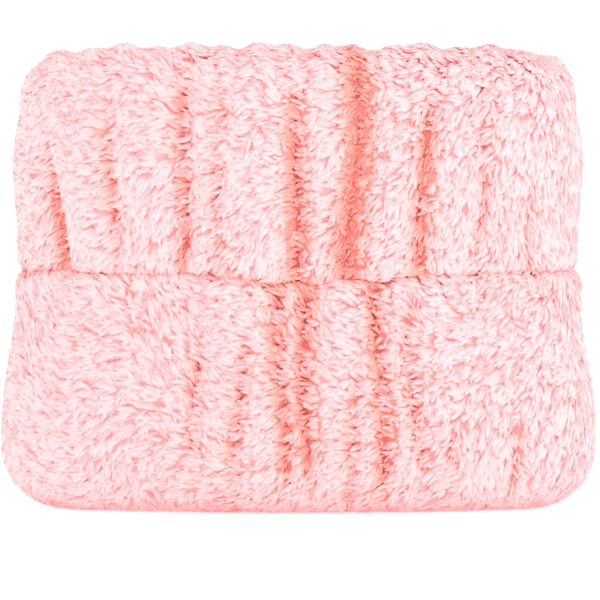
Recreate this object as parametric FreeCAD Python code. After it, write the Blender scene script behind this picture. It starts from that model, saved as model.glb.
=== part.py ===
"""A stacked pair of plush elastic spa bands, in millimetres.

Each band is an oval fabric tube that stands on its edge: an outer plush panel, an inner lining,
a loop of wide elastic floating between them, two overlocked edge seams, and a closing seam at the back.
+Z is up, the front of the stack faces -Y, and the origin is at the centre of the underside.

Every loop is made in a front and a back half that part along Y = 0, because the band opens there when
it is stretched over a hand.
"""
import FreeCAD
import Part

import math
import os

from FreeCAD import Vector

# ---- driving dimensions of the two bands ----
BANDS = {
    "lower": {
        "base": 0.0,
        "height": 47.5,
        "half_width": 61.0,
        "half_depth": 37.0,
        "end_radius": 29.0,
        "bottom_corner": 12.0,
        "top_corner": 7.0,
    },
    "upper": {
        "base": 47.8,
        "height": 46.0,
        "half_width": 58.5,
        "half_depth": 35.5,
        "end_radius": 28.0,
        "bottom_corner": 7.0,
        "top_corner": 12.0,
    },
}

# ---- the tube's section, measured inwards from the pile tips ----
TUBE_THICKNESS = 26.0
LINING_THICKNESS = 7.0
PLUSH_THICKNESS = 8.0
INNER_CORNER = 5.0
CAVITY_CORNER = 2.0
LINING_SETBACK = 1.5

# ---- elastic loop ----
ELASTIC_WIDTH = 25.0
ELASTIC_THICKNESS = 1.2
ELASTIC_CLEARANCE = 0.8
ELASTIC_LAP_LENGTH = 14.0

# ---- seams and stitches ----
SEAM_ALLOWANCE = 5.0
SEAM_THICKNESS = 2.0
BACK_SEAM_DEPTH = 4.0
BACK_SEAM_WIDTH = 2.4
PRESSED_SEAM_WIDTH = 8.0
PRESSED_SEAM_THICKNESS = 0.5
STITCH_LENGTH = 2.0
STITCH_PITCH = 3.0
STITCH_THICKNESS = 0.4

# ---- gathers pressed into the outer wall ----
GROOVE_RADIUS = 4.0
GROOVE_DEPTH = 2.2
GROOVES_PER_HALF = 11

# ---- running gap between the front and back halves ----
HALF_GAP = 0.3

UP = Vector(0, 0, 1)
LINING_FACE = TUBE_THICKNESS - LINING_THICKNESS


def front_radius(band):
    """Radius of the long front arc that meets both end arcs tangentially."""
    reach = band["half_width"] - band["end_radius"]
    depth, end = band["half_depth"], band["end_radius"]
    return (reach**2 + depth**2 - end**2) / (2 * (depth - end))


def front_sectors(band):
    """The three arcs from the left end round the front to the right: (centre, radius, start angle, sweep)."""
    reach = band["half_width"] - band["end_radius"]
    long_radius = front_radius(band)
    half_angle = math.degrees(math.asin(reach / (long_radius - band["end_radius"])))
    end_sweep = 90 - half_angle
    return [
        (Vector(-reach, 0, 0), band["end_radius"], 180, end_sweep),
        (Vector(0, long_radius - band["half_depth"], 0), long_radius, 270 - half_angle, 2 * half_angle),
        (Vector(reach, 0, 0), band["end_radius"], 270 + half_angle, end_sweep),
    ]


def rounded_outline(corners, place):
    """Edges of a closed outline with rounded corners.

    corners is a list of (inset, height, corner radius), and place puts such a flat point in space.
    """
    count = len(corners)
    legs = []
    for i, (x, z, radius) in enumerate(corners):
        here = Vector(x, z, 0)
        before = Vector(*corners[i - 1][:2], 0) - here
        after = Vector(*corners[(i + 1) % count][:2], 0) - here
        before.normalize()
        after.normalize()
        if radius <= 0:
            legs.append((here, None, here))
            continue
        half_turn = before.getAngle(after) / 2
        tangent = radius / math.tan(half_turn)
        bisector = before + after
        bisector.normalize()
        middle = here + bisector * (radius / math.sin(half_turn) - radius)
        legs.append((here + before * tangent, middle, here + after * tangent))
    edges = []
    for i, (start, middle, end) in enumerate(legs):
        if middle is not None:
            edges.append(Part.Arc(place(start), place(middle), place(end)).toShape())
        following = legs[(i + 1) % count][0]
        if end.distanceToPoint(following) > 1e-6:
            edges.append(Part.LineSegment(place(end), place(following)).toShape())
    return edges


def sector_solid(corners, base, centre, radius, start, sweep):
    """One arc's worth of a loop: the section revolved about the arc's own vertical axis."""
    direction = Vector(math.cos(math.radians(start)), math.sin(math.radians(start)), 0)

    def place(point):
        return centre + direction * (radius - point.x) + UP * (base + point.y)

    face = Part.Face(Part.Wire(Part.__sortEdges__(rounded_outline(corners, place))))
    return face.revolve(centre, UP, sweep)


def front_half(band, corners):
    """The front half of a loop with the given section, set forward by half of the running gap."""
    sectors = [sector_solid(corners, band["base"], *sector) for sector in front_sectors(band)]
    half = sectors[0].fuse(sectors[1:]).removeSplitter()
    half.translate(Vector(0, -HALF_GAP / 2, 0))
    return half


def mirrored(front):
    """The back half that matches a front half."""
    return front.mirror(Vector(0, 0, 0), Vector(0, 1, 0))


def back_half(band, corners):
    return mirrored(front_half(band, corners))


# ---- sections, as (inset from the pile tips, height above the band's base, corner radius) ----
def plush_section(band):
    """A C open towards the lining: outer wall, rolled top and rolled bottom."""
    top = band["height"]
    return [
        (0, 0, band["bottom_corner"]),
        (0, top, band["top_corner"]),
        (LINING_FACE, top, 0),
        (LINING_FACE, top - PLUSH_THICKNESS, 0),
        (PLUSH_THICKNESS, top - PLUSH_THICKNESS, CAVITY_CORNER),
        (PLUSH_THICKNESS, PLUSH_THICKNESS, CAVITY_CORNER),
        (LINING_FACE, PLUSH_THICKNESS, 0),
        (LINING_FACE, 0, 0),
    ]


def lining_section(band):
    """The inner wall, a little shorter than the tube and rounded towards the wrist."""
    low, high = LINING_SETBACK, band["height"] - LINING_SETBACK
    return [
        (LINING_FACE, low, 0),
        (LINING_FACE, high, 0),
        (TUBE_THICKNESS, high, INNER_CORNER),
        (TUBE_THICKNESS, low, INNER_CORNER),
    ]


def block_section(inset, thickness, low, high):
    return [
        (inset, low, 0),
        (inset, high, 0),
        (inset + thickness, high, 0),
        (inset + thickness, low, 0),
    ]


def elastic_inset():
    return LINING_FACE - ELASTIC_CLEARANCE - ELASTIC_THICKNESS


def elastic_section(band):
    low = (band["height"] - ELASTIC_WIDTH) / 2
    return block_section(elastic_inset(), ELASTIC_THICKNESS, low, low + ELASTIC_WIDTH)


def edge_seam_section(band, at_top):
    """The overlocked allowance of plush and lining, lying inside the tube along its inner edge."""
    low = band["height"] - PLUSH_THICKNESS - SEAM_THICKNESS if at_top else PLUSH_THICKNESS
    return block_section(LINING_FACE - SEAM_ALLOWANCE, SEAM_ALLOWANCE, low, low + SEAM_THICKNESS)


# ---- pieces of one band ----
def gathered_front(band):
    """The plush panel's front half, with the gathers pressed in as evenly spaced upright grooves."""
    half = front_half(band, plush_section(band))
    standoff = GROOVE_RADIUS - GROOVE_DEPTH
    sectors = front_sectors(band)
    lengths = [math.radians(sweep) * radius for _, radius, _, sweep in sectors]
    total = sum(lengths)
    cutters = []
    for i in range(GROOVES_PER_HALF):
        along = total * (i + 0.5) / GROOVES_PER_HALF
        for (centre, radius, start, sweep), length in zip(sectors, lengths):
            if along <= length:
                break
            along -= length
        angle = math.radians(start) + along / radius
        out = Vector(math.cos(angle), math.sin(angle), 0)
        foot = centre + out * (radius + standoff) + UP * band["base"]
        foot.y -= HALF_GAP / 2
        cutters.append(Part.makeCylinder(GROOVE_RADIUS, band["height"], foot, UP))
    return half.cut(cutters)


def back_block(band, inset, thickness, width, low, high):
    """A small upright block on the back wall's centre line."""
    outer_y = band["half_depth"] + HALF_GAP / 2 - inset
    corner = Vector(-width / 2, outer_y - thickness, band["base"] + low)
    return Part.makeBox(width, thickness, high - low, corner)


def elastic_lap(band):
    """The second layer where the elastic's ends overlap at the back."""
    centre_y = front_radius(band) - band["half_depth"]
    centre = Vector(0, -centre_y + HALF_GAP / 2, 0)
    radius = front_radius(band)
    inset = elastic_inset() - ELASTIC_THICKNESS
    low = (band["height"] - ELASTIC_WIDTH) / 2
    section = block_section(inset, ELASTIC_THICKNESS, low, low + ELASTIC_WIDTH)
    sweep = math.degrees(ELASTIC_LAP_LENGTH / (radius - inset))
    return sector_solid(section, band["base"], centre, radius, 90 - sweep / 2, sweep)


def lapped_elastic_back(band):
    return back_half(band, elastic_section(band)).fuse(elastic_lap(band)).removeSplitter()


def lap_stitches(band):
    """Two columns of bartack stitches that hold the elastic's lap."""
    inset = elastic_inset() - ELASTIC_THICKNESS - STITCH_THICKNESS
    low = (band["height"] - ELASTIC_WIDTH) / 2 + STITCH_PITCH
    rows = int((ELASTIC_WIDTH - 2 * STITCH_PITCH) / STITCH_PITCH) + 1
    stitches = []
    for column in (-1, 1):
        for row in range(rows):
            height = low + row * STITCH_PITCH
            top = height + STITCH_THICKNESS
            stitch = back_block(band, inset, STITCH_THICKNESS, STITCH_LENGTH, height, top)
            stitch.translate(Vector(column * ELASTIC_LAP_LENGTH / 4, 0, 0))
            stitches.append(stitch)
    return Part.makeCompound(stitches)


def chord_rise(band, inset, width):
    """How far the back wall curves away over a block of this width, so that the block stays clear of it."""
    radius = front_radius(band) - inset
    return radius - math.sqrt(radius**2 - (width / 2) ** 2)


def back_seam_inset(band):
    return PLUSH_THICKNESS + chord_rise(band, PLUSH_THICKNESS, BACK_SEAM_WIDTH)


def back_seam(band):
    """The plush panel's closing seam: its allowance stands into the tube at the centre of the back."""
    low = PLUSH_THICKNESS + CAVITY_CORNER
    high = band["height"] - low
    return back_block(band, back_seam_inset(band), BACK_SEAM_DEPTH, BACK_SEAM_WIDTH, low, high)


def back_seam_stitches(band):
    """Overlock stitches over the raw edge of the closing seam."""
    inset = back_seam_inset(band) + BACK_SEAM_DEPTH
    low = PLUSH_THICKNESS + CAVITY_CORNER + STITCH_PITCH / 2
    rows = int((band["height"] - 2 * low) / STITCH_PITCH) + 1
    heights = [low + row * STITCH_PITCH for row in range(rows)]
    return Part.makeCompound(
        [
            back_block(band, inset, STITCH_THICKNESS, BACK_SEAM_WIDTH, height, height + STITCH_THICKNESS)
            for height in heights
        ]
    )


def lining_seam(band):
    """The lining's closing seam, pressed flat against the back of the lining."""
    low = PLUSH_THICKNESS + SEAM_THICKNESS
    inset = LINING_FACE - PRESSED_SEAM_THICKNESS
    return back_block(band, inset, PRESSED_SEAM_THICKNESS, PRESSED_SEAM_WIDTH, low, band["height"] - low)


def band_pieces(name, band):
    """Every piece of one band, by node name."""
    top_seam, bottom_seam = edge_seam_section(band, True), edge_seam_section(band, False)
    plush = gathered_front(band)
    return {
        f"{name}_plush_front": plush,
        f"{name}_plush_back": mirrored(plush),
        f"{name}_lining_front": front_half(band, lining_section(band)),
        f"{name}_lining_back": back_half(band, lining_section(band)),
        f"{name}_elastic_front": front_half(band, elastic_section(band)),
        f"{name}_elastic_back": lapped_elastic_back(band),
        f"{name}_elastic_lap_stitches": lap_stitches(band),
        f"{name}_top_seam_front": front_half(band, top_seam),
        f"{name}_top_seam_back": back_half(band, top_seam),
        f"{name}_bottom_seam_front": front_half(band, bottom_seam),
        f"{name}_bottom_seam_back": back_half(band, bottom_seam),
        f"{name}_back_seam": back_seam(band),
        f"{name}_back_seam_stitches": back_seam_stitches(band),
        f"{name}_lining_seam": lining_seam(band),
    }


def main():
    os.makedirs("parts", exist_ok=True)
    for name, band in BANDS.items():
        for node, shape in band_pieces(name, band).items():
            sound = shape.isValid() and all(solid.Volume > 0 for solid in shape.Solids)
            print(f"{node}: {len(shape.Solids)} solids, {shape.Volume:.0f} mm3, {'ok' if sound else 'BAD'}")
            shape.exportStep(f"parts/{node}.step")


main()
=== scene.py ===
"""Looks for the stacked plush bands: gathered cloth, clumped pile, elastic, seams and light."""

import math

import bpy
import numpy as np
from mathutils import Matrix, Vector


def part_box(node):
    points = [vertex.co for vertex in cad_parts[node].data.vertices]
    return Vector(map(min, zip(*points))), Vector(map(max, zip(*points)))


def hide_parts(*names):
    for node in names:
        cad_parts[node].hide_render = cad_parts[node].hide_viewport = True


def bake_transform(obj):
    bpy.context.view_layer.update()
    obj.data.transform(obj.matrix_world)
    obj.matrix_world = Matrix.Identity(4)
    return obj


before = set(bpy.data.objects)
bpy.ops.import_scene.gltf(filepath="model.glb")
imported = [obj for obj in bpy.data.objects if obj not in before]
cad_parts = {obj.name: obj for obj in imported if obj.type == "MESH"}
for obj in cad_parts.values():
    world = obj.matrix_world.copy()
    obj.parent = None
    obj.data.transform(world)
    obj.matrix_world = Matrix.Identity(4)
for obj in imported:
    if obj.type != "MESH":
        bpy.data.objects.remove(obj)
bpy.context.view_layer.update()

MM = 0.001

# ---- the tube, measured inwards from the pile tips, in millimetres ----
TUBE = 26.0
LINING_FACE = 19.0
PILE = 0.9
PRESSED_PILE = 0.35
LINING_PILE = 1.8
CLOTH_THICKNESS = 0.8
HALF_GAP = 0.3

# ---- elastic and seams, in millimetres ----
ELASTIC_INSET = 17.0
ELASTIC_THICKNESS = 1.2
ELASTIC_WIDTH = 25.0
SEAM_INSET = 14.0
SEAM_ALLOWANCE = 4.9
SEAM_THICKNESS = 2.0
SEAM_OFFSET = 8.0

# ---- the crease between the bands, in millimetres: how high it rides, how far it sags at the
# middle of the front, where and over what width, and how far from it the cloth still follows ----
CREASE_RISE, CREASE_SAG, SAG_MIDDLE, SAG_WIDTH, SAG_REACH = 0.8, 2.1, 5.0, 20.0, 14.0

# ---- painted shade in the crease where the two bands press together: as deep a colour as a groove
# of this depth, over this height ----
CREASE_SHADE_DEPTH, CREASE_SHADE_REACH = 1.6, 2.2

# ---- pile pressed between the bands stays this far on its own side, from this far in;
# elsewhere it may hang over the crease by this much ----
PRESSED_GAP, PRESSED_FROM, OVERHANG = 0.15, 9.0, 2.2

# ---- pile: locks are soft tufts with blunt tips that lean together in clumps, fuzz the fine
# fibres over them ----
LOCKS = {
    "per_mm2": 1.7,
    "rings": (0.0, 0.32, 0.62, 0.88),
    "widths": (0.75, 1.0, 0.95, 0.62),
    "sides": 5,
    "flatness": 0.5,
    "radius": 0.60,
    "length": (3.2, 4.8),
    "rise": 0.32,
    "curl": 0.30,
    "turn": 0.30,
}
FUZZ = {
    "per_mm2": 1.2,
    "rings": (0.0, 0.5),
    "widths": (1.0, 0.8),
    "sides": 3,
    "flatness": 1.0,
    "radius": 0.10,
    "length": (3.6, 5.4),
    "rise": 0.42,
    "curl": 0.40,
    "turn": 0.55,
}
CLUMP_SIZE = 3.0
CLUMP_PULL = 0.45
CLUMP_TURN = 0.28
BRIDGE_DROP = 0.55
GROOVE_STOP = 0.5
PILE_REGIONS = 12

# ---- how a strand lies: its reach is a line and a curve in the way along it, and its height
# rises and falls; then the groove that counts as deep, how far in a root sits, and how much of
# the curl stands up ----
REACH_LINE, REACH_CURVE, TIP_REACH, RISE_FALL = 0.25, 0.62, 0.87, 0.42
DEEP_GROOVE = 2.5
ROOT_BURIED = 0.4
STAND_SHARE = 0.3

# ---- the pile stands up at the rim and the foot, over these heights in mm, and goes no lower
# than this ----
RIM_HEIGHT, FOOT_HEIGHT = 5.0, 4.0
FLOOR_GAP, FLOOR_SPREAD = 0.35, 0.05

# ---- what a groove does to the locks in it, for each millimetre of depth, and the least that
# is left ----
SHORTER, SHORTEST = 0.12, 0.4
THINNER, THINNEST = 0.08, 0.5
RADIUS_SPREAD = (0.75, 1.25)
SHADE_SPREAD = (0.7, 0.9)
TONE_SPREAD = 0.4

# ---- the lining's short pile ----
LINING_STRANDS = 12000
LINING_DROOP = 0.6
LINING_LENGTH = (1.8, 2.8)
LINING_ROOT = 0.3
LINING_RADIUS = 0.34
LINING_RADIUS_SPREAD = (0.7, 1.2)
LINING_SHADE = 0.9
LINING_CORNER = 4.0
LINING_RIPPLE, LINING_RIPPLES = 0.35, 31

# ---- the gathers' shape: how a groove wanders, how fast it fades out at its ends, and its
# profile ----
WANDER, WANDER_WAVES, WANDER_PHASE = 0.0016, 7.0, 90.0
GATHER_FADE = 0.05
GATHER_POWER = 1.4

# ---- the pile's colour: the place on its ramp of a root (lower: partly the pile's own colour,
# partly painted shade), what a clump's tone, a groove's millimetre (painted shade) and the fibres
# add to it, the ramp's stops, and the fibres' scale ----
ROOT_TONE, CLUMP_TONE, GROOVE_PAINTED_SHADE, FIBRE_TONE = 0.2, 0.07, -0.3, 0.25
ROOT_STOP, TIP_STOP = 0.3, 0.85
FIBRE_SCALE = 3500

# ---- colours: the pile's are for a groove (painted shade), a root and a tip; the rest are light ----
# and dark ----
PLUSH_COLOURS = ((0.98, 0.33, 0.28, 1), (0.99, 0.43, 0.42, 1), (0.99, 0.47, 0.48, 1))
LINING_COLOURS = ((0.99, 0.36, 0.32, 1), (0.99, 0.38, 0.36, 1), (0.99, 0.42, 0.42, 1))
KNIT_COLOURS = ((0.99, 0.42, 0.39, 1), (0.98, 0.36, 0.33, 1))
# painted shade: the knit ground's colour in deep grooves and beside the crease
KNIT_GROOVE_SHADE_COLOUR = (0.98, 0.34, 0.29, 1)
WEBBING_COLOURS = ((0.88, 0.86, 0.84, 1), (0.66, 0.63, 0.61, 1))
SEAM_COLOURS = ((0.90, 0.60, 0.61, 1), (0.78, 0.42, 0.44, 1))
THREAD_COLOURS = ((0.90, 0.56, 0.58, 1), (0.70, 0.36, 0.38, 1))

# ---- camera and stage, in metres and degrees; the floor gives off light, like a light table ----
CAMERA_DISTANCE, CAMERA_ELEVATION, VIEW_WIDTH, SENSOR = 1.6, 1.5, 0.1228, 36.0
CAMERA_AIM = (0.0003, 0, 0.0424)
LIGHT_AIM = (0, 0, 0.045)
FLOOR_HALF_SIDE = 6000.0
FLOOR_COLOUR, FLOOR_GLOW = (0.96, 0.96, 0.96, 1), 0.5
WORLD_STRENGTH = 1.55

# ---- mesh counts, rows by columns, and the step for a slope along an outline ----
PLUSH_GRID = (64, 756)
LINING_GRID = (40, 600)
STRIP_GRID = (9, 720)
ELASTIC_RIPPLE, ELASTIC_RIPPLES = 0.25, 60
SLOPE_STEP = 1e-3

# Gathers on the front: (place at mid height as a share of the half width, lean from foot to
# top, depth and width in mm, and the shares of the height that it runs between).
UPPER_GATHERS = [
    (-0.88, -0.12, 3.8, 2.2, -0.1, 0.50),
    (-0.66, -0.03, 2.5, 1.9, 0.10, 0.72),
    (-0.405, 0.01, 3.0, 1.9, -0.1, 0.95),
    (-0.275, 0.02, 2.0, 1.7, 0.05, 0.93),
    (-0.005, 0.01, 4.1, 2.3, -0.1, 0.80),
    (0.205, 0.05, 5.2, 3.4, -0.1, 1.1),
    (0.455, 0.07, 3.9, 2.3, -0.1, 0.80),
    (0.66, 0.06, 2.1, 1.8, 0.05, 0.85),
    (0.82, 0.00, 1.5, 1.5, -0.1, 0.35),
]
LOWER_GATHERS = [
    (-0.34, 0.06, 2.4, 1.9, 0.15, 0.75),
    (-0.195, 0.04, 2.5, 1.9, 0.0, 0.72),
    (-0.055, -0.03, 3.6, 2.1, 0.10, 1.1),
    (0.03, -0.01, 4.1, 2.3, 0.15, 1.1),
    (0.19, 0.00, 2.5, 1.9, 0.0, 0.60),
    (0.285, -0.02, 3.9, 2.2, 0.05, 1.1),
    (0.40, -0.08, 2.9, 1.9, 0.12, 0.85),
    (0.525, -0.02, 2.0, 1.8, 0.08, 0.42),
    (0.735, 0.04, 2.0, 1.8, 0.02, 0.45),
]
BACK_GATHERS = 13

# At the right end the pile lies downwards: by this many degrees from its lie elsewhere, around
# this share of the way round, and over this width.
END_TURN, END_SHARE, END_WIDTH = 80.0, 0.48, 0.10

# end_radius: of the two end arcs; top and foot: (corner radius, how far the wall is drawn in
# there, depth of pile); belly: the height, as a share, where the wall stands out furthest;
# lean: the pile's direction at mid height and how it fans, in degrees; swirl: how much the
# direction drifts, in radians; rim_rise: how much more the pile stands up at the top and at the
# foot; arch and wave: how far the rim drops at its ends and how uneven it is, in millimetres;
# seed: for every random draw on the band.
BANDS = {
    "lower": {
        "end_radius": 29.0,
        "top": (2.4, 3.2, PRESSED_PILE),
        "foot": (12.0, 0.0, 0.6),
        "belly": 0.34,
        "gathers": LOWER_GATHERS,
        "lean": (180.0, -52.0),
        "swirl": 0.45,
        "rim_rise": (0.3, 0.0),
        "arch": 0.0,
        "wave": 0.0,
        "seed": 11,
    },
    "upper": {
        "end_radius": 28.0,
        "top": (8.5, 1.6, PILE),
        "foot": (2.4, 1.2, PRESSED_PILE),
        "belly": 0.52,
        "gathers": UPPER_GATHERS,
        "lean": (200.0, -42.0),
        "swirl": 0.35,
        "rim_rise": (0.35, 0.3),
        "arch": 2.4,
        "wave": 0.45,
        "seed": 23,
    },
}


# ---- the loop's plan: two long arcs and two end arcs ----
def measure(name):
    """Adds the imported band's place and plan to its settings, in millimetres."""
    band = BANDS[name]
    low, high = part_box(f"{name}_plush_front")
    band["base"], band["height"] = low.z / MM, (high.z - low.z) / MM
    band["half_width"] = (high.x - low.x) / 2 / MM
    band["half_depth"] = -low.y / MM - HALF_GAP / 2
    reach = band["half_width"] - band["end_radius"]
    depth, end = band["half_depth"], band["end_radius"]
    band["long_radius"] = (reach**2 + depth**2 - end**2) / (2 * (depth - end))
    band["half_angle"] = math.asin(reach / (band["long_radius"] - end))
    band["reach"] = reach
    long_arc = 2 * band["half_angle"] * band["long_radius"]
    end_arc = (math.pi / 2 - band["half_angle"]) * end
    band["half_girth"] = long_arc + 2 * end_arc
    band["arcs"] = (end_arc, long_arc)
    return band


def plan(band, s):
    """Point and outward normal at a share s of the way round, from the left end by the front."""
    s = np.asarray(s, float) % 1.0
    back = s >= 0.5
    along = np.where(back, 1.0 - s, s) * 2 * band["half_girth"]
    end_arc, long_arc = band["arcs"]
    end, big = band["end_radius"], band["long_radius"]
    first = along < end_arc
    last = along > end_arc + long_arc
    angle = 1.5 * math.pi + (along - end_arc - long_arc / 2) / big
    angle = np.where(first, math.pi + along / end, angle)
    angle = np.where(last, 2 * math.pi - (band["half_girth"] - along) / end, angle)
    centre_x = np.where(first, -band["reach"], np.where(last, band["reach"], 0.0))
    centre_y = np.where(first | last, 0.0, big - band["half_depth"])
    radius = np.where(first | last, end, big)
    normal = np.stack([np.cos(angle), np.sin(angle)], -1)
    x = centre_x + radius * normal[..., 0]
    y = centre_y + radius * normal[..., 1] - HALF_GAP / 2
    flip = np.where(back, -1.0, 1.0)
    return np.stack([x, y * flip], -1), normal * np.stack([np.ones_like(flip), flip], -1)


def section(band, inset, from_inset):
    """The outer wall's outline from the lining at the top to the lining at the foot."""
    top_radius, top_draw, top_pile = band["top"]
    foot_radius, foot_draw, foot_pile = band["foot"]
    top, foot = band["height"] - top_pile, foot_pile
    high, low, belly = top - top_radius, foot + foot_radius, band["height"] * band["belly"]
    turns = np.linspace(0, math.pi / 2, 9)
    points = [(from_inset, top)]
    for turn in turns:
        reach = inset + top_draw + top_radius * (1 - math.sin(turn))
        points.append((reach, top - top_radius * (1 - math.cos(turn))))
    for share in np.linspace(0, 1, 9)[1:]:
        reach = inset + top_draw * (1 + math.cos(math.pi * share)) / 2
        points.append((reach, high + (belly - high) * share))
    for share in np.linspace(0, 1, 5)[1:-1]:
        reach = inset + foot_draw * (1 - math.cos(math.pi * share)) / 2
        points.append((reach, belly + (low - belly) * share))
    for turn in turns:
        reach = inset + foot_draw + foot_radius * (1 - math.cos(turn))
        points.append((reach, foot + foot_radius * (1 - math.sin(turn))))
    points.append((from_inset, foot))
    return np.array(points)


def distances(points):
    """How far along an outline each of its points is."""
    steps = np.linalg.norm(np.diff(points, axis=0), axis=1)
    return np.concatenate([[0], np.cumsum(steps)])


def resample(points, v):
    """Points at shares v of the way along an outline."""
    along = distances(points)
    at = v * along[-1]
    return np.stack([np.interp(at, along, points[:, i]) for i in (0, 1)], -1)


def slope_at(points, v):
    """Unit direction of an outline at shares v of the way along it."""
    ahead = resample(points, np.minimum(v + SLOPE_STEP, 1))
    behind = resample(points, np.maximum(v - SLOPE_STEP, 0))
    slope = ahead - behind
    return slope / np.linalg.norm(slope, axis=-1, keepdims=True)


# ---- gathers ----
def place_gathers(band):
    """Every gather as (share of the way round, lean, depth, width, low, high)."""
    rng = np.random.default_rng(band["seed"])
    table = np.linspace(0, 0.5, 2001)
    x = plan(band, table)[0][:, 0] / band["half_width"]
    placed = []
    for share, lean, *rest in band["gathers"]:
        slope = lean * band["half_width"] / (2 * band["half_girth"])
        placed.append((np.interp(share, x, table), slope, *rest))
    for i in range(BACK_GATHERS):
        at = 0.5 + (i + 0.5 + rng.uniform(-0.28, 0.28)) / (2 * BACK_GATHERS)
        depth, width = rng.uniform(2.0, 3.8), rng.uniform(1.8, 2.7)
        slope = rng.uniform(-0.012, 0.012)
        low, high = rng.uniform(-0.2, 0.25), rng.uniform(0.7, 1.2)
        placed.append((at, slope, depth, width, low, high))
    return placed


def gather_depth(band, s, height):
    """How far the outer wall is drawn in, in millimetres, at a share s round and a height."""
    total = np.zeros_like(s)
    lift = height / band["height"] - 0.5
    for at, slope, depth, width, low, high in band["placed"]:
        wander = WANDER * np.sin(lift * WANDER_WAVES + at * WANDER_PHASE)
        gap = (s - at - slope * lift - wander + 0.5) % 1.0 - 0.5
        distance = np.abs(gap) * 2 * band["half_girth"]
        above = 1 + np.exp((low - lift - 0.5) / GATHER_FADE)
        below = 1 + np.exp((lift + 0.5 - high) / GATHER_FADE)
        groove = np.exp(-((distance / width) ** GATHER_POWER))
        total = np.maximum(total, depth * (1 / above / below) * groove)
    return total


def lobe_swell(band, s):
    """Slow unevenness of the padded lobes round the loop."""
    turn = 2 * math.pi * s
    return 0.5 * np.cos(4 * turn) + 0.35 * np.sin(9 * turn + 2 * band["seed"])


def droop(band, place, height):
    """How much lower than level the cloth sits, in mm: at the crease, and at the rim's ends."""
    front = np.clip(-place[..., 1] / band["half_depth"], 0, 1)
    front = front * np.exp(-(((place[..., 0] - SAG_MIDDLE) / SAG_WIDTH) ** 2))
    x = place[..., 0]
    uneven = np.sin(0.42 * x + 1.0) + np.sin(0.93 * x)
    rim = band["arch"] * (x / band["half_width"]) ** 4 + band["wave"] * uneven
    rim = rim * (height / band["height"]) ** 3
    near = np.exp(-(((height - band["crease"]) / SAG_REACH) ** 2))
    return (CREASE_SAG * front - CREASE_RISE) * near + rim


def keep_side(band, paths, pressed):
    """Paths moved up or down where they'd cross the crease into the other band."""
    crease = band["base"] + band["crease"] - droop(band, paths[..., :2], band["crease"])
    side = -1.0 if band["crease"] else 1.0
    least = np.where(pressed, PRESSED_GAP, -OVERHANG)[:, None]
    short = np.clip(least - side * (paths[..., 2] - crease), 0, None)
    paths[..., 2] += side * short
    return paths


def painted_shade_depth(band, depth, height):
    """The depth that the material reads as painted shade: of the gather, or as much again beside
    the crease.
    """
    return depth + CREASE_SHADE_DEPTH * np.exp(-(((height - band["crease"]) / CREASE_SHADE_REACH) ** 2))


def outer_surface(band, s, v, root_depth=None):
    """Ground cloth position, outward normal and gather depth, for shares round and along.

    With the depth at a strand's root, the surface that the strand lies on: it bridges a
    deeper groove.
    """
    flat, slope = resample(band["outline"], v), slope_at(band["outline"], v)
    inset, height = flat[..., 0], flat[..., 1]
    out_share, up_share = -slope[..., 1], -slope[..., 0]
    depth = gather_depth(band, s, height)
    if root_depth is not None:
        depth = np.minimum(depth, root_depth + BRIDGE_DROP * np.maximum(depth - root_depth, 0))
    drawn = depth * np.clip(out_share, 0.45, 1)
    drawn = drawn + (0.2 - lobe_swell(band, s)) * np.clip(out_share, 0, 1)
    spot, normal = plan(band, s)
    moved_inset = inset + drawn * np.clip(out_share, 0, 1)
    moved_height = height - drawn * up_share * 0.45
    place = spot - normal * moved_inset[..., None]
    moved_height = moved_height - droop(band, place, height)
    point = np.concatenate([place, (band["base"] + moved_height)[..., None]], -1)
    direction = np.concatenate([normal * out_share[..., None], up_share[..., None]], -1)
    return point, direction, depth


# ---- meshes ----
def make_mesh(name, points, faces, material, smooth=True):
    """A mesh object from arrays in millimetres."""
    size = faces.shape[1]
    mesh = bpy.data.meshes.new(name)
    mesh.vertices.add(len(points))
    mesh.vertices.foreach_set("co", (points * MM).astype(np.float32).ravel())
    mesh.loops.add(faces.size)
    mesh.loops.foreach_set("vertex_index", faces.astype(np.int32).ravel())
    mesh.polygons.add(len(faces))
    mesh.polygons.foreach_set("loop_start", np.arange(len(faces), dtype=np.int32) * size)
    mesh.polygons.foreach_set("use_smooth", np.full(len(faces), smooth))
    mesh.update(calc_edges=True)
    mesh.materials.append(material)
    thing = bpy.data.objects.new(name, mesh)
    bpy.context.scene.collection.objects.link(thing)
    return thing


def paint(thing, name, values):
    """Stores one number for each vertex, for the material to read."""
    attribute = thing.data.attributes.new(name, "FLOAT", "POINT")
    attribute.data.foreach_set("value", values.astype(np.float32))


def grid_faces(rows, columns):
    """Quads of a grid that closes on itself both ways."""
    i, j = np.meshgrid(np.arange(rows), np.arange(columns), indexing="ij")
    i2, j2 = (i + 1) % rows, (j + 1) % columns
    quads = [i * columns + j, i * columns + j2, i2 * columns + j2, i2 * columns + j]
    return np.stack(quads, -1).reshape(-1, 4)


def thick_sheet(name, outer, inner, material):
    """A closed sheet from two matching grids of points, rows by columns, round the loop."""
    rows, columns = outer.shape[:2]
    ring = np.concatenate([outer, inner[::-1]], 0).reshape(-1, 3)
    faces = grid_faces(2 * rows, columns)
    return make_mesh(name, ring, faces[:, ::-1], material)


def stretch(thing):
    """Bakes a whole loop's place into its mesh."""
    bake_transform(thing)


def outer_cloth(name, band, material):
    """The gathered ground cloth of the plush panel."""
    rows, columns = PLUSH_GRID
    v, s = np.meshgrid(np.linspace(0, 1, rows), np.arange(columns) / columns, indexing="ij")
    point, direction, depth = outer_surface(band, s, v)
    cloth = thick_sheet(f"{name}_plush_cloth", point, point - direction * CLOTH_THICKNESS, material)
    # the gather attribute carries painted shade for the grooves and beside the crease
    depth = painted_shade_depth(band, depth, resample(band["outline"], v)[..., 1])
    paint(cloth, "gather", np.concatenate([depth, depth[::-1]], 0).ravel())
    return cloth


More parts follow.
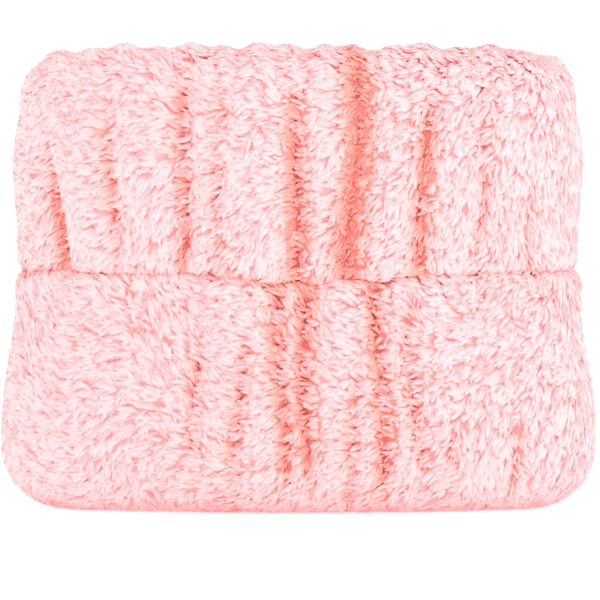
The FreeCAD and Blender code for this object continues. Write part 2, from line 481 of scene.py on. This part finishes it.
def lining_outline(band):
    """The inner wall's outline from its top edge to its foot, on the wrist side."""
    inset = TUBE - LINING_PILE
    low, high, corner = band["foot"][2], band["height"] - band["top"][2], LINING_CORNER
    points = [(LINING_FACE, high)]
    for turn in np.linspace(0, math.pi / 2, 7):
        points.append((inset - corner * (1 - math.sin(turn)), high - corner * (1 - math.cos(turn))))
    for turn in np.linspace(0, math.pi / 2, 7):
        points.append((inset - corner * (1 - math.cos(turn)), low + corner * (1 - math.sin(turn))))
    points.append((LINING_FACE, low))
    return np.array(points)


def lining_surface(band, s, v):
    """Lining position and direction out of the cloth, towards the wrist."""
    flat, slope = resample(band["lining_outline"], v), slope_at(band["lining_outline"], v)
    in_share, up_share = -slope[..., 1], slope[..., 0]
    spot, normal = plan(band, s)
    ripple = LINING_RIPPLE * np.sin(2 * math.pi * s * LINING_RIPPLES + band["seed"])
    place = spot - normal * (flat[..., 0] - ripple * np.clip(in_share, 0, 1))[..., None]
    height = flat[..., 1] - droop(band, place, flat[..., 1])
    point = np.concatenate([place, (band["base"] + height)[..., None]], -1)
    direction = np.concatenate([-normal * in_share[..., None], up_share[..., None]], -1)
    return point, direction


def lining_cloth(name, band, material):
    """The inner cloth, on the wrist side."""
    rows, columns = LINING_GRID
    v, s = np.meshgrid(np.linspace(0, 1, rows), np.arange(columns) / columns, indexing="ij")
    point, direction = lining_surface(band, s, v)
    return thick_sheet(f"{name}_lining_cloth", point - direction * CLOTH_THICKNESS, point, material)


# ---- pile ----
def drift(rng, s, height, waves=7):
    """A smooth random field from about -1 to 1 over the loop."""
    total = np.zeros_like(s)
    for _ in range(waves):
        around, up, phase = rng.integers(2, 16), rng.uniform(0.02, 0.16), rng.uniform(0, 6.28)
        total += np.sin(2 * math.pi * s * around + height * up + phase)
    return total / math.sqrt(waves)


def clumps_of(rng, band, s, height):
    """Each place's clump: the way to its middle, along and up in mm, its turn and its tone."""
    girth = 2 * band["half_girth"]
    columns, rows = int(girth / CLUMP_SIZE), int(band["height"] / CLUMP_SIZE) + 3
    jitter, turns = rng.random((columns, rows, 2)), rng.normal(0, 1, (columns, rows))
    tones = rng.normal(0, 1, (columns, rows))
    wide = girth / columns
    u, w = s * columns, height / CLUMP_SIZE + 1
    nearest = np.full(len(s), 1e9)
    along, up, turn, tone = (np.zeros(len(s)) for _ in range(4))
    for du in (-1, 0, 1):
        for dw in (-1, 0, 1):
            i = np.floor(u).astype(int) + du
            j = np.clip(np.floor(w).astype(int) + dw, 0, rows - 1)
            ring = i % columns
            gap_u = (i + jitter[ring, j, 0] - u) * wide
            gap_w = (j + jitter[ring, j, 1] - w) * CLUMP_SIZE
            far = gap_u**2 + gap_w**2
            closer = far < nearest
            nearest = np.where(closer, far, nearest)
            along, up = np.where(closer, gap_u, along), np.where(closer, gap_w, up)
            turn = np.where(closer, turns[ring, j], turn)
            tone = np.where(closer, tones[ring, j], tone)
    return along, up, turn, tone


def strand_mesh(name, kind, paths, radius, normal, material, shade, tone, depth):
    """Closed flattened strands in one mesh; a path has a point for each ring and the tip."""
    count, sides, rings = len(paths), kind["sides"], len(kind["rings"])
    points = []
    for ring, width in enumerate(kind["widths"]):
        along = paths[:, ring + 1] - paths[:, max(ring - 1, 0)]
        across = np.cross(along, normal)
        across /= np.linalg.norm(across, axis=1, keepdims=True) + 1e-9
        up = np.cross(across, along)
        up /= np.linalg.norm(up, axis=1, keepdims=True) + 1e-9
        for side in range(sides):
            turn = math.pi / 2 + 2 * math.pi * side / sides
            offset = across * math.cos(turn) + up * math.sin(turn) * kind["flatness"]
            points.append(paths[:, ring] + offset * (radius * width)[:, None])
    points.append(paths[:, -1])
    points = np.stack(points, 1)
    each = points.shape[1]
    faces = [[0, k + 1, k] for k in range(1, sides - 1)]
    for ring in range(rings - 1):
        for side in range(sides):
            a, b = ring * sides + side, ring * sides + (side + 1) % sides
            faces += [[a, b, b + sides], [a, b + sides, a + sides]]
    last = (rings - 1) * sides
    faces += [[last + k, last + (k + 1) % sides, each - 1] for k in range(sides)]
    faces = (np.array(faces)[None] + (np.arange(count) * each)[:, None, None]).reshape(-1, 3)
    pile = make_mesh(name, points.reshape(-1, 3), faces, material)
    # the ramp place rises from root to tip: partly the pile's own paler tips, partly painted shade
    # deeper in the pile
    up_strand = np.concatenate([np.repeat(kind["rings"], sides), [1.0]])
    paint(pile, "shade", (up_strand[None] * shade[:, None]).ravel())
    paint(pile, "tone", np.repeat(tone, each))
    paint(pile, "gather", np.repeat(depth, each))
    return pile


def grow(rng, kind, root, normal, lean, length, rise):
    """Paths of strands that rise from a smooth cloth and lie over along their lean."""
    t = np.array([*kind["rings"], 1.0])[None, :, None]
    up = normal[:, None] * rise * (t - RISE_FALL * t**2)
    over = lean[:, None] * (REACH_LINE * t + REACH_CURVE * t**2)
    curl = rng.normal(0, kind["curl"], (len(root), 3))
    curl -= 0.7 * normal * np.sum(curl * normal, axis=1, keepdims=True)
    return root[:, None] + length[:, None, None] * (up + over) + curl[:, None] * t**2


def drape(rng, kind, band, s, v, angle, length, rise, pull):
    """Paths of strands that follow the gathered cloth, along an angle and in to their clump."""
    girth = 2 * band["half_girth"]
    profile = distances(band["outline"])[-1]
    _, normal, root_depth = outer_surface(band, s, v)
    buried = ROOT_BURIED * np.clip(1 - root_depth / DEEP_GROOVE, 0, 1)
    curl = rng.normal(0, kind["curl"], (2, len(s)))
    stand = rng.normal(0, STAND_SHARE * kind["curl"], len(s))
    ahead = TIP_REACH * length
    low = resample(band["outline"], np.clip(v - ahead * np.sin(angle) / profile, 0, 1))[..., 1]
    crossed = gather_depth(band, s + ahead * np.cos(angle) / girth, low) - root_depth
    length = length * (1 - GROOVE_STOP * np.clip(crossed / DEEP_GROOVE, 0, 1))
    points = []
    for t in (*kind["rings"], 1.0):
        reach = length * (REACH_LINE * t + REACH_CURVE * t**2)
        along = reach * np.cos(angle) + (curl[0] + pull[0]) * t**2
        up = reach * np.sin(angle) + (curl[1] + pull[1]) * t**2
        down = np.clip(v - up / profile, 0, 1)
        spot, out, _ = outer_surface(band, s + along / girth, down, root_depth)
        lift = length * rise * (t - RISE_FALL * t**2) + stand * t**2 - buried
        points.append(spot + out * lift[:, None])
    return np.stack(points, 1), normal


def outer_pile(name, band, material):
    """The long pile, in regions round the loop."""
    rng = np.random.default_rng(band["seed"] + 100)
    area = distances(band["outline"])[-1] * 2 * band["half_girth"]
    field = np.random.default_rng(band["seed"] + 300)
    waves = field.bit_generator.state
    middle, fan = band["lean"]
    top_rise, foot_rise = band["rim_rise"]
    pieces = []
    for label, kind in (("pile", LOCKS), ("fuzz", FUZZ)):
        field.bit_generator.state = waves
        count = int(area * kind["per_mm2"] * (1.0))
        s, v = rng.random(count), rng.random(count)
        inset, height = resample(band["outline"], v).T
        gap_along, gap_up, turn, tone = clumps_of(field, band, s, height)
        swing = band["swirl"] * drift(field, s, height) + CLUMP_TURN * turn
        swing += rng.normal(0, kind["turn"], count)
        near_end = np.exp(-(((s - END_SHARE) / END_WIDTH) ** 2))
        spread = fan * (1 - near_end) * (2 * height / band["height"] - 1)
        angle = np.radians(middle + END_TURN * near_end + spread) + swing
        rise = kind["rise"] + top_rise * np.exp(-(((band["height"] - height) / RIM_HEIGHT) ** 2))
        rise += foot_rise * np.exp(-((height / FOOT_HEIGHT) ** 2))
        depth = gather_depth(band, s, height)
        length = rng.uniform(*kind["length"], count) * np.clip(1 - SHORTER * depth, SHORTEST, 1)
        pull = CLUMP_PULL * np.stack([gap_along, gap_up])
        paths, normal = drape(rng, kind, band, s, v, angle, length, rise, pull)
        paths = keep_side(band, paths, inset > PRESSED_FROM)
        lowest = FLOOR_GAP + FLOOR_SPREAD * rng.random(paths.shape[:2])
        paths[..., 2] = np.where(paths[..., 2] < FLOOR_GAP, lowest, paths[..., 2])
        thickness = np.clip(1 - THINNER * depth, THINNEST, 1)
        radius = kind["radius"] * rng.uniform(*RADIUS_SPREAD, count) * thickness
        shade = rng.uniform(*SHADE_SPREAD, count)
        own_tone = tone + rng.normal(0, TONE_SPREAD, count)
        # the gather attribute carries painted shade for the grooves and beside the crease
        depth = painted_shade_depth(band, depth, height)
        for region in range(PILE_REGIONS):
            inside = (s * PILE_REGIONS).astype(int) == region
            shape = (a[inside] for a in (paths, radius, normal))
            look = (a[inside] for a in (shade, own_tone, depth))
            title = f"{name}_{label}_{region + 1}"
            pieces.append(strand_mesh(title, kind, *shape, material, *look))
    return pieces


def inner_pile(name, band, material):
    """The lining's short pile, on the wrist side."""
    rng = np.random.default_rng(band["seed"] + 200)
    count = LINING_STRANDS
    s, v = rng.random(count), rng.random(count)
    root, normal = lining_surface(band, s, v)
    random_way = rng.normal(0, 1, (count, 3))
    random_way[:, 2] -= LINING_DROOP
    lean = random_way - normal * np.sum(random_way * normal, axis=1, keepdims=True)
    lean /= np.linalg.norm(lean, axis=1, keepdims=True)
    length = rng.uniform(*LINING_LENGTH, count)
    paths = grow(rng, FUZZ, root - normal * LINING_ROOT, normal, lean, length, LOCKS["rise"])
    paths = keep_side(band, paths, np.full(count, True))
    radius, no_groove = LINING_RADIUS * rng.uniform(*LINING_RADIUS_SPREAD, count), np.zeros(count)
    look = (no_groove + LINING_SHADE, rng.normal(0, 1, count), no_groove)
    return strand_mesh(f"{name}_lining_pile", FUZZ, paths, radius, normal, material, *look)


# ---- hidden pieces, each a whole loop ----
def band_strip(name, label, inset, thickness, low, width, material, ripple=0.0):
    """A strip that runs round inside the tube."""
    rows, columns = STRIP_GRID
    s = np.arange(columns) / columns
    spot, normal = plan(BANDS[name], s)
    wave = ripple * np.sin(2 * math.pi * s * ELASTIC_RIPPLES)
    face = spot - normal * (inset + wave)[:, None]
    heights = np.linspace(low, low + width, rows)
    outer = [np.concatenate([face, np.full((columns, 1), h)], 1) for h in heights]
    inner = [row - np.concatenate([normal * thickness, np.zeros((columns, 1))], 1) for row in outer]
    return thick_sheet(label, np.array(outer), np.array(inner), material)


# ---- materials ----
def new_material(name, roughness, sheen):
    """A Principled material with its node tree and shader."""
    material = bpy.data.materials.new(name)
    material.use_nodes = True
    shader = material.node_tree.nodes["Principled BSDF"]
    shader.inputs["Roughness"].default_value = roughness
    shader.inputs["Sheen Weight"].default_value = sheen
    shader.inputs["Specular IOR Level"].default_value = 0.25
    return material, material.node_tree, shader


def read_attribute(tree, name):
    """One of the numbers stored on the vertices."""
    node = tree.nodes.new("ShaderNodeAttribute")
    node.attribute_name = name
    return node.outputs["Fac"]


def scaled_sum(tree, value, factor, addend):
    """A value times a factor, plus another value."""
    node = tree.nodes.new("ShaderNodeMath")
    node.operation = "MULTIPLY_ADD"
    node.inputs[1].default_value = factor
    tree.links.new(value, node.inputs[0])
    tree.links.new(addend, node.inputs[2])
    return node.outputs[0]


def add_texture(tree, kind, scale, output):
    """A texture fixed to the object, its node and the output to read."""
    place = tree.nodes.new("ShaderNodeTexCoord")
    texture = tree.nodes.new(kind)
    texture.inputs["Scale"].default_value = scale
    tree.links.new(place.outputs["Object"], texture.inputs["Vector"])
    return texture, texture.outputs[output]


def add_bump(tree, shader, height, strength, distance):
    """Bump for the shader from a height."""
    bump = tree.nodes.new("ShaderNodeBump")
    bump.inputs["Strength"].default_value = strength
    bump.inputs["Distance"].default_value = distance
    tree.links.new(height, bump.inputs["Height"])
    tree.links.new(bump.outputs["Normal"], shader.inputs["Normal"])


def pile_material(name, groove_colour, root_colour, tip_colour):
    """Painted shade deep in the grooves and beside the crease, paler from root to tip (partly the
    pile's own paler tips, partly painted shade deeper in the pile), with tone that varies by clump.
    """
    material, tree, shader = new_material(name, 0.8, 0.25)
    raised = tree.nodes.new("ShaderNodeMath")
    raised.operation = "ADD"
    raised.inputs[1].default_value = ROOT_TONE
    tree.links.new(read_attribute(tree, "shade"), raised.inputs[0])
    toned = scaled_sum(tree, read_attribute(tree, "tone"), CLUMP_TONE, raised.outputs[0])
    # painted shade: the ramp place drops with the gather attribute's depth, in grooves and beside
    # the crease
    groove_shaded = scaled_sum(tree, read_attribute(tree, "gather"), GROOVE_PAINTED_SHADE, toned)
    texture, fibres = add_texture(tree, "ShaderNodeTexNoise", FIBRE_SCALE, "Fac")
    texture.inputs["Detail"].default_value = 2
    ramp = tree.nodes.new("ShaderNodeValToRGB")
    stops = ramp.color_ramp.elements
    stops[0].position, stops[0].color = 0.0, groove_colour
    stops[1].position, stops[1].color = TIP_STOP, tip_colour
    stops.new(ROOT_STOP).color = root_colour
    tree.links.new(scaled_sum(tree, fibres, FIBRE_TONE, groove_shaded), ramp.inputs["Fac"])
    tree.links.new(ramp.outputs["Color"], shader.inputs["Base Color"])
    add_bump(tree, shader, fibres, 0.35, 0.0001)
    return material


def knit_material(name, light, dark, scale, groove=None):
    """A fine knitted ground: small cells with darker gaps, and painted shade in the grooves and
    beside the crease.
    """
    material, tree, shader = new_material(name, 0.85, 0.15)
    _, cells = add_texture(tree, "ShaderNodeTexVoronoi", scale, "Distance")
    ramp = tree.nodes.new("ShaderNodeValToRGB")
    ramp.color_ramp.elements[0].color = light
    ramp.color_ramp.elements[1].color = dark
    tree.links.new(cells, ramp.inputs["Fac"])
    colour = ramp.outputs["Color"]
    # painted shade: the colour deepens towards the groove colour with the gather attribute's depth
    if groove:
        groove_shaded = tree.nodes.new("ShaderNodeMapRange")
        groove_shaded.inputs["From Min"].default_value = 0.3
        groove_shaded.inputs["From Max"].default_value = 2.2
        tree.links.new(read_attribute(tree, "gather"), groove_shaded.inputs["Value"])
        groove_shade_mix = tree.nodes.new("ShaderNodeMix")
        groove_shade_mix.data_type = "RGBA"
        tree.links.new(groove_shaded.outputs["Result"], groove_shade_mix.inputs[0])
        tree.links.new(colour, groove_shade_mix.inputs[6])
        groove_shade_mix.inputs[7].default_value = groove
        colour = groove_shade_mix.outputs[2]
    tree.links.new(colour, shader.inputs["Base Color"])
    add_bump(tree, shader, cells, 1.0, 0.0003)
    return material


# ---- stage, light and camera ----
def make_camera():
    """A long lens, just above the floor's level, that the object nearly fills."""
    elevation = math.radians(CAMERA_ELEVATION)
    back = Vector((0, -math.cos(elevation), math.sin(elevation)))
    camera = bpy.data.objects.new("camera", bpy.data.cameras.new("camera"))
    bpy.context.scene.collection.objects.link(camera)
    camera.location = Vector(CAMERA_AIM) + back * CAMERA_DISTANCE
    camera.rotation_mode = "QUATERNION"
    camera.rotation_quaternion = (-back).to_track_quat("-Z", "Y")
    camera.data.sensor_width = SENSOR
    camera.data.lens = SENSOR * CAMERA_DISTANCE / VIEW_WIDTH
    camera.data.clip_start = 0.01
    bpy.context.scene.camera = camera


def make_stage():
    """The white floor, which isn't part of the object."""
    material, _, shader = new_material("stage_white", 0.35, 0.0)
    shader.inputs["Base Color"].default_value = FLOOR_COLOUR
    shader.inputs["Emission Color"].default_value = (1, 1, 1, 1)
    shader.inputs["Emission Strength"].default_value = FLOOR_GLOW
    side = FLOOR_HALF_SIDE
    corners = np.array([[-side, -side, 0], [side, -side, 0], [side, side, 0], [-side, side, 0]])
    floor = make_mesh("floor", corners, np.array([[0, 1, 2, 3]]), material, smooth=False)


def add_light(name, place, size, power):
    """A square lamp turned to the middle of the object."""
    light = bpy.data.lights.new(name, "AREA")
    light.size, light.energy = size, power
    lamp = bpy.data.objects.new(name, light)
    bpy.context.scene.collection.objects.link(lamp)
    lamp.location = place
    lamp.rotation_mode = "QUATERNION"
    lamp.rotation_quaternion = (Vector(LIGHT_AIM) - Vector(place)).to_track_quat("-Z", "Y")


def make_lights():
    """An even bright world, a wide key from the right and a weak rim from behind."""
    world = bpy.data.worlds.new("world")
    world.use_nodes = True
    background = world.node_tree.nodes["Background"]
    background.inputs["Color"].default_value = (1, 1, 1, 1)
    background.inputs["Strength"].default_value = WORLD_STRENGTH
    bpy.context.scene.world = world
    add_light("key", (0.8, -1.1, 0.5), 2.2, 11.0)
    add_light("rim", (-0.6, 0.4, 0.5), 0.6, 0.4)
    bpy.context.scene.view_settings.view_transform = "Standard"


def build_band(name, pile, lining, knit, webbing, allowance):
    """All the pieces of a band, with their materials; the CAD pieces that they stand in for are
    hidden.
    """
    band = measure(name)
    band["placed"] = place_gathers(band)
    band["crease"] = band["height"] if name == "lower" else 0.0
    band["outline"] = section(band, PILE, LINING_FACE)
    band["lining_outline"] = lining_outline(band)
    cloth = outer_cloth(name, band, knit)
    inner_cloth = lining_cloth(name, band, knit)
    piles = outer_pile(name, band, pile)
    lining_tufts = inner_pile(name, band, lining)
    base, height = band["base"], band["height"]
    size = (ELASTIC_INSET, ELASTIC_THICKNESS, base + (height - ELASTIC_WIDTH) / 2, ELASTIC_WIDTH)
    elastic = band_strip(name, f"{name}_elastic", *size, webbing, ELASTIC_RIPPLE)
    lows = {"top": base + height - SEAM_OFFSET - SEAM_THICKNESS, "bottom": base + SEAM_OFFSET}
    seams = {}
    for end, low in lows.items():
        size = (SEAM_INSET, SEAM_ALLOWANCE, low, SEAM_THICKNESS)
        seams[end] = band_strip(name, f"{name}_{end}_seam", *size, allowance)
    for piece in [cloth, inner_cloth, *piles, lining_tufts, elastic, *seams.values()]:
        stretch(piece)
    for end, seam in seams.items():
        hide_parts(f"{name}_{end}_seam_front", f"{name}_{end}_seam_back")
    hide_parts(f"{name}_plush_front", f"{name}_plush_back")
    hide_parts(f"{name}_lining_front", f"{name}_lining_back")
    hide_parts(f"{name}_elastic_front", f"{name}_elastic_back")


def recolour(node, material):
    """Gives a CAD piece that stays as it is its own look."""
    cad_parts[node].data.materials.clear()
    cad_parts[node].data.materials.append(material)


def main():
    """Builds both bands, the stage, the lights and the camera."""
    pile = pile_material("plush_pile_look", *PLUSH_COLOURS)
    lining = pile_material("lining_pile_look", *LINING_COLOURS)
    knit = knit_material("knit_ground", *KNIT_COLOURS, 2200, KNIT_GROOVE_SHADE_COLOUR)
    webbing = knit_material("elastic_webbing_look", *WEBBING_COLOURS, 1500)
    allowance = knit_material("seam_allowance_look", *SEAM_COLOURS, 1800)
    thread = knit_material("sewing_thread_look", *THREAD_COLOURS, 3000)
    make_camera()
    for name in BANDS:
        build_band(name, pile, lining, knit, webbing, allowance)
        for node in ("elastic_lap_stitches", "back_seam_stitches"):
            recolour(f"{name}_{node}", thread)
        for node in ("back_seam", "lining_seam"):
            recolour(f"{name}_{node}", allowance)
    make_stage()
    make_lights()


main()
